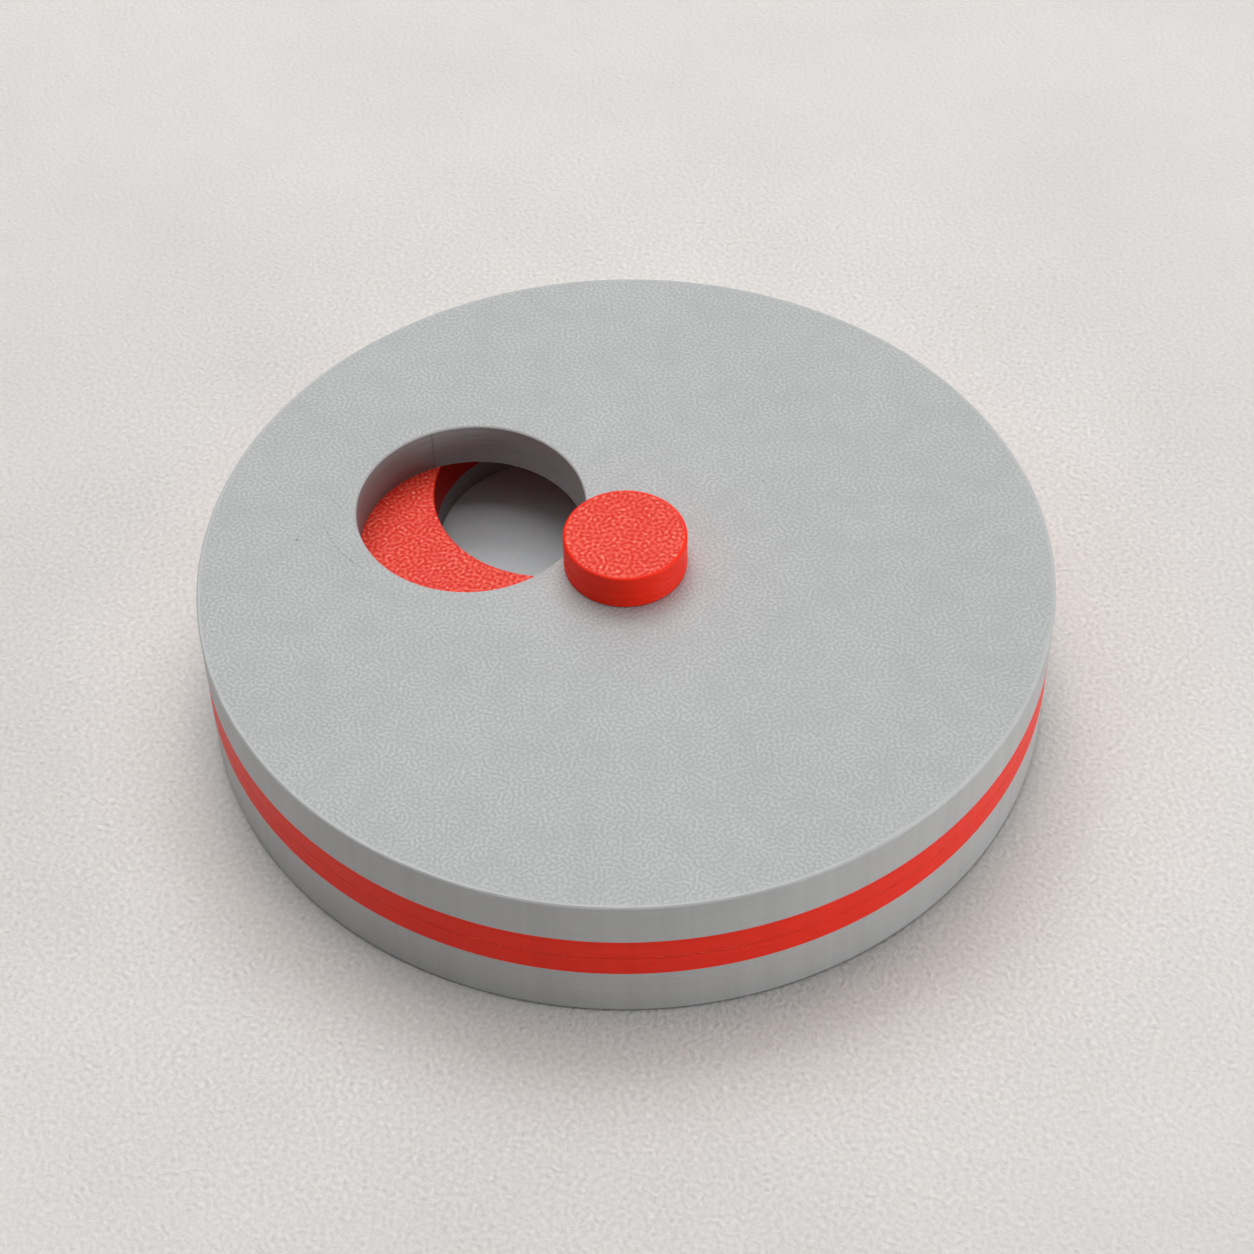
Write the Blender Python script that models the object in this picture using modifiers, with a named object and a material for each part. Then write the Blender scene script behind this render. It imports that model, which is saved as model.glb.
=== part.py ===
"""Dealer button with a turning cover and a turning shutter disc.

Three full-diameter discs are stacked on one central pivot:

  * a grey base with a shallow round pocket,
  * a red shutter, two thin plates on three dowels, with one round hole,
  * a grey top cover with one round window.

A red knob stands in the middle.  Its stem runs down through the cover, is
keyed to both shutter plates by two flats, and is held from below by a button
head screw and a washer in the base's counterbore.  A wave washer under the
knob presses the stack lightly together, so each disc stays where it is turned.

Metres, +Z up.  The origin is the centre of the underside.
"""

import math

import bmesh
import bpy
from mathutils import Matrix

MM = 0.001

# ---------------------------------------------------------------- dimensions
DISC_R = 38.0 * MM              # all three discs: 76 mm, a 3 inch button

BASE_TOP_Z = 5.36 * MM          # base thickness
LOWER_PLATE_Z = (5.40 * MM, 7.56 * MM)
UPPER_PLATE_Z = (7.60 * MM, 9.76 * MM)
COVER_Z = (9.80 * MM, 14.40 * MM)

WINDOW_R = 10.41 * MM           # window in the cover
WINDOW_ORBIT = 15.64 * MM
WINDOW_ANGLE = math.radians(152.6)

HOLE_R = 10.89 * MM             # hole in the shutter, and pocket in the base
HOLE_ORBIT = 15.28 * MM
HOLE_ANGLE = math.radians(116.6)
POCKET_DEPTH = 2.40 * MM

TOP_EDGE = 0.22 * MM            # chamfer round the cover's top edge
RIM_EDGE = 0.10 * MM            # broken edge everywhere else
FOOT_EDGE = 0.30 * MM           # chamfer round the underside

KNOB_R = 5.50 * MM
KNOB_Z = (14.44 * MM, 18.00 * MM)
KNOB_ROUND = 0.35 * MM

STEM_R = 2.90 * MM
STEM_FLAT = 2.60 * MM           # half the distance across the two flats
STEM_END_Z = 2.55 * MM
PLATE_BORE_R = 3.05 * MM
PLATE_BORE_FLAT = 2.75 * MM
RUNNING_BORE_R = 3.10 * MM      # cover and base turn on the stem

RECESS_R = 4.10 * MM            # wave washer's seat in the cover
RECESS_DEPTH = 0.90 * MM
COUNTERBORE_R = 4.00 * MM       # screw head's seat in the base
COUNTERBORE_DEPTH = 2.60 * MM

INSERT_R = 2.00 * MM            # brass insert pressed into the stem
INSERT_BORE_R = 1.50 * MM
INSERT_Z = (2.70 * MM, 7.70 * MM)
INSERT_POCKET_R = 2.10 * MM
INSERT_POCKET_TOP = 8.60 * MM

SCREW_R = 1.36 * MM             # M3 x 6, threads left plain
SCREW_HEAD_R = 2.85 * MM
SCREW_HEAD_Z = (0.30 * MM, 1.94 * MM)
SCREW_TIP_Z = 7.94 * MM
SOCKET_FLATS = 2.00 * MM        # across the flats
SOCKET_DEPTH = 1.00 * MM

WASHER_R = (1.60 * MM, 3.50 * MM)
WASHER_Z = (2.00 * MM, 2.50 * MM)

WAVE_R = (3.10 * MM, 3.90 * MM)
WAVE_THICK = 0.25 * MM
WAVE_RISE = 0.22 * MM           # height of each wave above and below the middle
WAVE_COUNT = 3

DOWEL_R = 1.50 * MM
DOWEL_Z = (6.08 * MM, 9.08 * MM)
DOWEL_HOLE_R = 1.60 * MM
DOWEL_HOLE_DEPTH = 1.60 * MM
DOWEL_ORBIT = 29.0 * MM
DOWEL_ANGLES = {"front": math.radians(180.0),
                "left": math.radians(60.0),
                "right": math.radians(-60.0)}   # from the hole's direction

DISC_STEPS = 96
HOLE_STEPS = 64
SMALL_STEPS = 28

# ------------------------------------------------------------------- set-up
for old in list(bpy.data.objects):
    bpy.data.objects.remove(old, do_unlink=True)

parts = bpy.data.collections.new("dealer_button")
cutters = bpy.data.collections.new("dealer_button_cutters")
bpy.context.scene.collection.children.link(parts)
bpy.context.scene.collection.children.link(cutters)


def material(name, colour, roughness, metallic=0.0):
    mat = bpy.data.materials.new(name)
    mat.use_nodes = True
    shader = mat.node_tree.nodes["Principled BSDF"]
    shader.inputs["Base Color"].default_value = (*colour, 1.0)
    shader.inputs["Roughness"].default_value = roughness
    shader.inputs["Metallic"].default_value = metallic
    mat.diffuse_color = (*colour, 1.0)
    return mat


GREY = (0.33, 0.35, 0.36)
RED = (0.66, 0.035, 0.022)
STEEL = (0.56, 0.57, 0.58)
BRASS = (0.62, 0.45, 0.18)


def place(obj, name, colour, roughness=0.5, metallic=0.0, parent=None):
    """Give a piece its material, collection and parent."""
    parts.objects.link(obj)
    obj.data.materials.append(
        material(name + "_material", colour, roughness, metallic))
    obj.parent = parent
    return obj


def profile_object(name, points, steps, closed):
    """A turned solid: points (radius, z) run down the outer side.

    A closed profile makes a ring; an open one starts and ends on the axis.
    """
    mesh = bpy.data.meshes.new(name)
    count = len(points)
    edges = [(i, i + 1) for i in range(count - 1)]
    if closed:
        edges.append((count - 1, 0))
    mesh.from_pydata([(r, 0.0, z) for r, z in points], edges, [])
    obj = bpy.data.objects.new(name, mesh)
    screw = obj.modifiers.new("turn", "SCREW")
    screw.axis = "Z"
    screw.angle = 2.0 * math.pi
    screw.steps = steps
    screw.render_steps = steps
    screw.use_merge_vertices = True
    screw.merge_threshold = 0.00001
    screw.use_smooth_shade = True
    return obj


def cut_with(obj, cutter):
    cutter.hide_render = True
    cutter.display_type = "WIRE"
    if cutter.name not in cutters.objects:
        cutters.objects.link(cutter)
    boolean = obj.modifiers.new("cut_" + cutter.name, "BOOLEAN")
    boolean.operation = "DIFFERENCE"
    boolean.solver = "EXACT"
    boolean.object = cutter
    return boolean


def ring_profile(outer, inner, low, high, top_edge=0.0, low_edge=0.0):
    """Closed profile of a flat ring with broken outer edges."""
    points = []
    if top_edge > 0.0:
        points += [(outer - top_edge, high), (outer, high - top_edge)]
    else:
        points += [(outer, high)]
    if low_edge > 0.0:
        points += [(outer, low + low_edge), (outer - low_edge, low)]
    else:
        points += [(outer, low)]
    points += [(inner, low), (inner, high)]
    return points


def hole_cutter(name, radius, low, high, floor=False, parent=None, edge=RIM_EDGE):
    """Round cutter that also breaks the edge where it leaves the face.

    low and high are the faces that it cuts; with floor it stops at low.
    """
    over = 1.0 * MM
    points = [(0.0, high + over), (radius + edge + over, high + over),
              (radius, high - edge)]
    if floor:
        points += [(radius, low + edge), (radius - edge, low), (0.0, low)]
    else:
        points += [(radius, low + edge), (radius + edge + over, low - over),
                   (0.0, low - over)]
    cutter = profile_object(name, points, HOLE_STEPS, closed=False)
    cutter.parent = parent
    return cutter


def box_cutter(name, centre, size, parent=None):
    mesh = bpy.data.meshes.new(name)
    bm = bmesh.new()
    bmesh.ops.create_cube(bm, size=1.0, matrix=Matrix.Diagonal((*size, 1.0)))
    bm.to_mesh(mesh)
    bm.free()
    cutter = bpy.data.objects.new(name, mesh)
    cutter.location = centre
    cutter.parent = parent
    return cutter


def axis_empty(name, angle):
    """Empty on the pivot's axis; its +X points at the piece's opening."""
    empty = bpy.data.objects.new(name, None)
    empty.empty_display_size = 0.01
    empty.rotation_euler = (0.0, 0.0, angle)
    parts.objects.link(empty)
    return empty


cover_axis = axis_empty("cover_axis", WINDOW_ANGLE)
shutter_axis = axis_empty("shutter_axis", HOLE_ANGLE)
base_axis = axis_empty("base_axis", HOLE_ANGLE)

# --------------------------------------------------------------------- base
base = profile_object("base_body", [
    (DISC_R - RIM_EDGE, BASE_TOP_Z),
    (DISC_R, BASE_TOP_Z - RIM_EDGE),
    (DISC_R, FOOT_EDGE),
    (DISC_R - FOOT_EDGE, 0.0),
    (COUNTERBORE_R, 0.0),
    (COUNTERBORE_R, COUNTERBORE_DEPTH),
    (RUNNING_BORE_R, COUNTERBORE_DEPTH),
    (RUNNING_BORE_R, BASE_TOP_Z)], DISC_STEPS, closed=True)
place(base, "base_body", GREY, 0.55, parent=base_axis)
pocket = hole_cutter("pocket_cutter", HOLE_R, BASE_TOP_Z - POCKET_DEPTH,
                     BASE_TOP_Z, floor=True, parent=base_axis)
pocket.location = (HOLE_ORBIT, 0.0, 0.0)
cut_with(base, pocket)

# ------------------------------------------------------------ shutter plates
def key_hole_cutter(name, low, high, parent):
    """Round cutter with two flats, for the keyed bore of a plate."""
    over = 1.0 * MM
    cutter = profile_object(name, [
        (0.0, high + over), (PLATE_BORE_R, high + over),
        (PLATE_BORE_R, low - over), (0.0, low - over)],
        SMALL_STEPS, closed=False)
    cutter.parent = parent
    deep = high - low + 4.0 * MM
    for side, sign in (("a", 1.0), ("b", -1.0)):
        wide = 4.0 * MM
        trim = box_cutter(
            name + "_flat_" + side,
            (sign * (PLATE_BORE_FLAT + wide / 2.0), 0.0, (low + high) / 2.0),
            (wide, 12.0 * MM, deep), parent)
        cut_with(cutter, trim)
    return cutter


def dowel_hole(name, angle, low, high, parent):
    mesh = bpy.data.meshes.new(name)
    bm = bmesh.new()
    bmesh.ops.create_cone(bm, cap_ends=True, segments=SMALL_STEPS,
                          radius1=DOWEL_HOLE_R, radius2=DOWEL_HOLE_R,
                          depth=high - low)
    bm.to_mesh(mesh)
    bm.free()
    cutter = bpy.data.objects.new(name, mesh)
    cutter.location = (DOWEL_ORBIT * math.cos(angle),
                       DOWEL_ORBIT * math.sin(angle), (low + high) / 2.0)
    cutter.parent = parent
    return cutter


def shutter_plate(name, low, high, dowels_in_top):
    plate = profile_object(name, [
        (0.0, high), (DISC_R - RIM_EDGE, high), (DISC_R, high - RIM_EDGE),
        (DISC_R, low + RIM_EDGE), (DISC_R - RIM_EDGE, low), (0.0, low)],
        DISC_STEPS, closed=False)
    place(plate, name, RED, 0.4, parent=shutter_axis)
    hole = hole_cutter(name + "_hole_cutter", HOLE_R, low, high,
                       parent=shutter_axis)
    hole.location = (HOLE_ORBIT, 0.0, 0.0)
    cut_with(plate, hole)
    cut_with(plate, key_hole_cutter(name + "_key_cutter", low, high,
                                    shutter_axis))
    for side, angle in DOWEL_ANGLES.items():
        if dowels_in_top:
            span = (high - DOWEL_HOLE_DEPTH, high + 1.0 * MM)
        else:
            span = (low - 1.0 * MM, low + DOWEL_HOLE_DEPTH)
        cut_with(plate, dowel_hole(name + "_dowel_cutter_" + side, angle,
                                   span[0], span[1], shutter_axis))
    return plate


shutter_plate("lower_shutter_plate", *LOWER_PLATE_Z, dowels_in_top=True)
shutter_plate("upper_shutter_plate", *UPPER_PLATE_Z, dowels_in_top=False)

# -------------------------------------------------------------------- dowels
for side, angle in DOWEL_ANGLES.items():
    low, high = DOWEL_Z
    lead = 0.25 * MM
    dowel = profile_object("shutter_dowel_" + side, [
        (0.0, high), (DOWEL_R - lead, high), (DOWEL_R, high - lead),
        (DOWEL_R, low + lead), (DOWEL_R - lead, low), (0.0, low)],
        24, closed=False)
    place(dowel, "shutter_dowel_" + side, STEEL, 0.3, 1.0, shutter_axis)
    dowel.location = (DOWEL_ORBIT * math.cos(angle),
                      DOWEL_ORBIT * math.sin(angle), 0.0)

# --------------------------------------------------------------------- cover
low, high = COVER_Z
cover = profile_object("top_cover", [
    (DISC_R - TOP_EDGE, high), (DISC_R, high - TOP_EDGE),
    (DISC_R, low + RIM_EDGE), (DISC_R - RIM_EDGE, low),
    (RUNNING_BORE_R, low), (RUNNING_BORE_R, high - RECESS_DEPTH),
    (RECESS_R, high - RECESS_DEPTH), (RECESS_R, high)],
    DISC_STEPS, closed=True)
place(cover, "top_cover", GREY, 0.55, parent=cover_axis)
window = hole_cutter("window_cutter", WINDOW_R, low, high, parent=cover_axis)
window.location = (WINDOW_ORBIT, 0.0, 0.0)
cut_with(cover, window)

# ---------------------------------------------------------------------- knob
def rounded_corner(radius_at, z_at, radius, steps=4):
    """Quarter round from the top face down to the side."""
    points = []
    for i in range(steps + 1):
        t = math.pi / 2.0 * i / steps
        points.append((radius_at - radius + radius * math.sin(t),
                       z_at - radius + radius * math.cos(t)))
    return points


low, high = KNOB_Z
knob = profile_object("selector_knob",
    [(0.0, high)] + rounded_corner(KNOB_R, high, KNOB_ROUND) + [
        (KNOB_R, low + RIM_EDGE), (KNOB_R - RIM_EDGE, low),
        (STEM_R, low), (STEM_R, STEM_END_Z),
        (INSERT_POCKET_R, STEM_END_Z), (INSERT_POCKET_R, INSERT_POCKET_TOP),
        (0.0, INSERT_POCKET_TOP)], 48, closed=False)
place(knob, "selector_knob", RED, 0.4, parent=shutter_axis)
flat_top = UPPER_PLATE_Z[1] + 0.02 * MM
for side, sign in (("a", 1.0), ("b", -1.0)):
    wide = 3.0 * MM
    trim = box_cutter("stem_flat_cutter_" + side,
                      (sign * (STEM_FLAT + wide / 2.0), 0.0, flat_top / 2.0),
                      (wide, 12.0 * MM, flat_top), shutter_axis)
    cut_with(knob, trim)

# -------------------------------------------------------- insert in the stem
low, high = INSERT_Z
groove = 0.22 * MM
span = (high - low) / 5.0
insert = profile_object("threaded_insert", [
    (INSERT_R, high), (INSERT_R, high - span),
    (INSERT_R - groove, high - 1.3 * span), (INSERT_R - groove, high - 1.7 * span),
    (INSERT_R, high - 2.0 * span), (INSERT_R, high - 3.0 * span),
    (INSERT_R - groove, high - 3.3 * span), (INSERT_R - groove, high - 3.7 * span),
    (INSERT_R, high - 4.0 * span), (INSERT_R, low),
    (INSERT_BORE_R, low), (INSERT_BORE_R, high)], 32, closed=True)
place(insert, "threaded_insert", BRASS, 0.3, 1.0, shutter_axis)

# ----------------------------------------------------------- screw and washer
low, high = SCREW_HEAD_Z
dome = []
for i in range(5):
    t = math.pi / 2.0 * i / 4.0
    dome.append((1.25 * MM + (SCREW_HEAD_R - 1.25 * MM) * math.cos(t),
                 high - 0.35 * MM - (high - 0.35 * MM - low) * math.sin(t)))
screw = profile_object("retaining_screw", [
    (0.0, SCREW_TIP_Z), (SCREW_R - 0.3 * MM, SCREW_TIP_Z),
    (SCREW_R, SCREW_TIP_Z - 0.3 * MM), (SCREW_R, high),
    (SCREW_HEAD_R, high)] + dome + [(0.0, low)], 32, closed=False)
place(screw, "retaining_screw", STEEL, 0.3, 1.0, shutter_axis)
socket_mesh = bpy.data.meshes.new("socket_cutter")
bm = bmesh.new()
bmesh.ops.create_cone(bm, cap_ends=True, segments=6,
                      radius1=SOCKET_FLATS / math.sqrt(3.0),
                      radius2=SOCKET_FLATS / math.sqrt(3.0),
                      depth=2.0 * SOCKET_DEPTH)
bm.to_mesh(socket_mesh)
bm.free()
socket = bpy.data.objects.new("socket_cutter", socket_mesh)
socket.location = (0.0, 0.0, low)
socket.parent = shutter_axis
cut_with(screw, socket)

washer = profile_object("retaining_washer", ring_profile(
    WASHER_R[1], WASHER_R[0], WASHER_Z[0], WASHER_Z[1],
    0.06 * MM, 0.06 * MM), 32, closed=True)
place(washer, "retaining_washer", STEEL, 0.3, 1.0, shutter_axis)

# --------------------------------------------------------------- wave washer
middle = COVER_Z[1] - RECESS_DEPTH + (RECESS_DEPTH + KNOB_Z[0] - COVER_Z[1]) / 2.0
wave_mesh = bpy.data.meshes.new("wave_washer")
bm = bmesh.new()
corners = [(WAVE_R[1], WAVE_THICK / 2.0), (WAVE_R[1], -WAVE_THICK / 2.0),
           (WAVE_R[0], -WAVE_THICK / 2.0), (WAVE_R[0], WAVE_THICK / 2.0)]
verts = [bm.verts.new((r, 0.0, z)) for r, z in corners]
loop = [bm.edges.new((verts[i], verts[(i + 1) % 4])) for i in range(4)]
bmesh.ops.spin(bm, geom=verts + loop, cent=(0.0, 0.0, 0.0), axis=(0.0, 0.0, 1.0),
               angle=2.0 * math.pi, steps=48, use_merge=True)
bmesh.ops.remove_doubles(bm, verts=bm.verts, dist=0.00001)
for v in bm.verts:
    v.co.z += WAVE_RISE * math.cos(WAVE_COUNT * math.atan2(v.co.y, v.co.x))
bmesh.ops.recalc_face_normals(bm, faces=bm.faces)
bm.to_mesh(wave_mesh)
bm.free()
wave = bpy.data.objects.new("wave_washer", wave_mesh)
wave.location = (0.0, 0.0, middle)
place(wave, "wave_washer", STEEL, 0.25, 1.0, shutter_axis)

# ------------------------------------------------------------------- shading
# Each finished piece keeps its own mesh: smooth round its turned faces, with
# crisp edges where two faces meet at more than 30 degrees.
bpy.context.view_layer.update()
depsgraph = bpy.context.evaluated_depsgraph_get()
pieces = [obj for obj in parts.objects if obj.type == "MESH"]
finished = {obj: bpy.data.meshes.new_from_object(obj.evaluated_get(depsgraph))
            for obj in pieces}
for obj, mesh in finished.items():
    obj.modifiers.clear()
    obj.data = mesh
    mesh.name = obj.name
    mesh.shade_smooth()
    mesh.set_sharp_from_angle(angle=math.radians(30.0))
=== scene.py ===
"""Looks of the dealer button: three printed discs on a pivot, with a red knob.

Metres, +Z up, in the CAD frame.  Millimetres are used inside the shape and
material code and turned into metres at the end.
"""
import math
import random

import bmesh
import bpy
from mathutils import Matrix, Vector, noise


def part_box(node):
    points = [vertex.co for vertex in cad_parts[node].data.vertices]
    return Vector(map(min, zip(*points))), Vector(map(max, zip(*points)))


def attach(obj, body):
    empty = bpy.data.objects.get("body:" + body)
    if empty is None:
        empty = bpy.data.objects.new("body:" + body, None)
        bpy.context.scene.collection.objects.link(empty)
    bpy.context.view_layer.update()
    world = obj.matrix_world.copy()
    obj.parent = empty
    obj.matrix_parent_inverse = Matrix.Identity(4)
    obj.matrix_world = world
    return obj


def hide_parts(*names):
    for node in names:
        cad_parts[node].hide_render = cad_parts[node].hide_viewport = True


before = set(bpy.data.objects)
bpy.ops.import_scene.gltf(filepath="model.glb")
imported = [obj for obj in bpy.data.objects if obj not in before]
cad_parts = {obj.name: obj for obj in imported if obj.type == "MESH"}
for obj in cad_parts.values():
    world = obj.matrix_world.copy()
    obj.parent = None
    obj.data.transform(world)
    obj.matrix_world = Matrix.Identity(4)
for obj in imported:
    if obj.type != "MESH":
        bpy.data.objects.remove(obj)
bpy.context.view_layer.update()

MM = 0.001
TAU = 2.0 * math.pi

# ---------------------------------------------------------------- dimensions
def node_box(name):
    low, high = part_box(name)
    return [c / MM for c in low], [c / MM for c in high]


BASE_LOW, BASE_HIGH = node_box("base_body")
LOWER_LOW, LOWER_HIGH = node_box("lower_shutter_plate")
UPPER_LOW, UPPER_HIGH = node_box("upper_shutter_plate")
COVER_LOW, COVER_HIGH = node_box("top_cover")
KNOB_LOW, KNOB_HIGH = node_box("selector_knob")

R = BASE_HIGH[0]                 # 38.0: all discs
TIGHT = 0.006                    # visible joint between discs pressed together
Z_BASE_TOP = BASE_HIGH[2] + 0.014
Z_LOWER = (Z_BASE_TOP + TIGHT, LOWER_HIGH[2] + 0.016)
Z_UPPER = (UPPER_LOW[2] - 0.016, COVER_LOW[2] - TIGHT - 0.002)
Z_COVER = (COVER_LOW[2], COVER_HIGH[2])
Z_KNOB = (Z_COVER[1] + 0.02, KNOB_HIGH[2])
R_KNOB = 5.5

LAYER = 0.24                     # printed layer height
HOLE_ANGLE, HOLE_ORBIT, HOLE_R = math.radians(116.6), 15.28, 10.89
WINDOW_ANGLE, WINDOW_ORBIT, WINDOW_R = math.radians(152.6), 15.64, 10.41
POCKET_FLOOR = 2.96


def at(angle, orbit):
    return orbit * math.cos(angle), orbit * math.sin(angle)


HOLE_C = at(HOLE_ANGLE, HOLE_ORBIT)
WINDOW_C = at(WINDOW_ANGLE, WINDOW_ORBIT)

# ------------------------------------------------------------------- shapes
# Four stand-in slots keep each face's slot through the cuts; dress() puts the
# real materials in: 0 plate texture, 1 outer wall, 2 smooth face, 3 inner wall.
SLOT_FILL = [bpy.data.materials.new("slot_%d" % i) for i in range(4)]


def layered_wall(radius, z_from, z_to, depth, rng, inward=False, first=None):
    """Profile of a printed wall: one low bead for each layer.

    Returns rows (radius, z) from z_from to z_to.
    """
    sign = -1.0 if inward else 1.0
    step = -1.0 if z_to < z_from else 1.0
    count = max(1, round(abs(z_to - z_from) / LAYER))
    pitch = abs(z_to - z_from) / count
    rows = []
    for i in range(count):
        d = depth * (0.35 + 0.9 * rng.random())
        if rng.random() < 0.12:
            d *= 1.8
        z0 = z_from + step * pitch * i
        if i > 0:
            rows.append((radius - sign * d, z0, d, i))
        for part in (0.18, 0.5, 0.82):
            rows.append((radius - sign * d * (0.25 if part != 0.5 else 0.0),
                         z0 + step * pitch * part, 0.0, i))
    return [(r, z) for r, z, _, _ in rows]


def lathe(name, rows, steps, closed, wobble=None):
    """Turned closed mesh; rows are (radius, z, slot) in mm, outer side down.

    slot is the material of the band that starts at the row.
    """
    bm = bmesh.new()
    rings = []
    for r, z, _ in rows:
        if r < 1e-6:
            rings.append([bm.verts.new((0.0, 0.0, z))])
            continue
        ring = []
        for k in range(steps):
            a = TAU * k / steps
            rr, zz = (r, z) if wobble is None else wobble(r, z, a)
            ring.append(bm.verts.new((rr * math.cos(a), rr * math.sin(a), zz)))
        rings.append(ring)
    pairs = [(i, i + 1) for i in range(len(rows) - 1)]
    if closed:
        pairs.append((len(rows) - 1, 0))
    for i, j in pairs:
        a, b, slot = rings[i], rings[j], rows[i][2]
        for k in range(steps):
            n = (k + 1) % steps
            if len(a) == 1 and len(b) == 1:
                continue
            if len(a) == 1:
                face = bm.faces.new((a[0], b[k], b[n]))
            elif len(b) == 1:
                face = bm.faces.new((a[k], b[0], a[n]))
            else:
                face = bm.faces.new((a[k], b[k], b[n], a[n]))
            face.material_index = slot
            face.smooth = True
    bmesh.ops.recalc_face_normals(bm, faces=bm.faces)
    mesh = bpy.data.meshes.new(name)
    bm.to_mesh(mesh)
    bm.free()
    for m in SLOT_FILL:
        mesh.materials.append(m)
    obj = bpy.data.objects.new(name, mesh)
    bpy.context.scene.collection.objects.link(obj)
    return obj


def joined(name, objects):
    """One mesh from several objects that don't touch."""
    bm = bmesh.new()
    mats = []
    for obj in objects:
        mesh = obj.data.copy()
        mesh.transform(obj.matrix_world)
        bm.from_mesh(mesh)
        for m in obj.data.materials:
            if m not in mats:
                mats.append(m)
        bpy.data.meshes.remove(mesh)
    mesh = bpy.data.meshes.new(name)
    bm.to_mesh(mesh)
    bm.free()
    for m in mats:
        mesh.materials.append(m)
    out = bpy.data.objects.new(name, mesh)
    bpy.context.scene.collection.objects.link(out)
    for obj in objects:
        bpy.data.objects.remove(obj)
    return out


def moved(obj, x, y, z=0.0):
    obj.data.transform(Matrix.Translation((x, y, z)))
    return obj


def cut(obj, cutter):
    """Exact difference, applied; the cutter's material slots carry over."""
    mod = obj.modifiers.new("cut", "BOOLEAN")
    mod.operation = "DIFFERENCE"
    mod.solver = "EXACT"
    mod.material_mode = "INDEX"
    mod.object = cutter
    bpy.context.view_layer.update()
    depsgraph = bpy.context.evaluated_depsgraph_get()
    mesh = bpy.data.meshes.new_from_object(obj.evaluated_get(depsgraph))
    obj.modifiers.clear()
    old = obj.data
    obj.data = mesh
    mesh.name = obj.name
    bpy.data.meshes.remove(old)
    bpy.data.objects.remove(cutter)
    return obj


def to_metres(obj, angle=38.0):
    """From millimetres to metres, with crisp edges and smooth walls."""
    mesh = obj.data
    mesh.transform(Matrix.Scale(MM, 4))
    mesh.shade_smooth()
    mesh.set_sharp_from_angle(angle=math.radians(angle))
    return obj


def box_mesh(name, centre, size):
    mesh = bpy.data.meshes.new(name)
    bm = bmesh.new()
    bmesh.ops.create_cube(bm, size=1.0, matrix=Matrix.Translation(centre)
                          @ Matrix.Diagonal((*size, 1.0)))
    for face in bm.faces:
        face.material_index = 1
    bm.to_mesh(mesh)
    bm.free()
    for m in SLOT_FILL:
        mesh.materials.append(m)
    obj = bpy.data.objects.new(name, mesh)
    bpy.context.scene.collection.objects.link(obj)
    return obj


def wavy(scale, seed, octaves=3):
    """Smooth noise of the direction round the axis, from -1 to 1."""
    def value(a, z=0.0):
        p = Vector((math.cos(a) * scale, math.sin(a) * scale, z + seed * 7.31))
        return noise.fractal(p, 1.0, 2.0, octaves, noise_basis="PERLIN_ORIGINAL")
    return value


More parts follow.
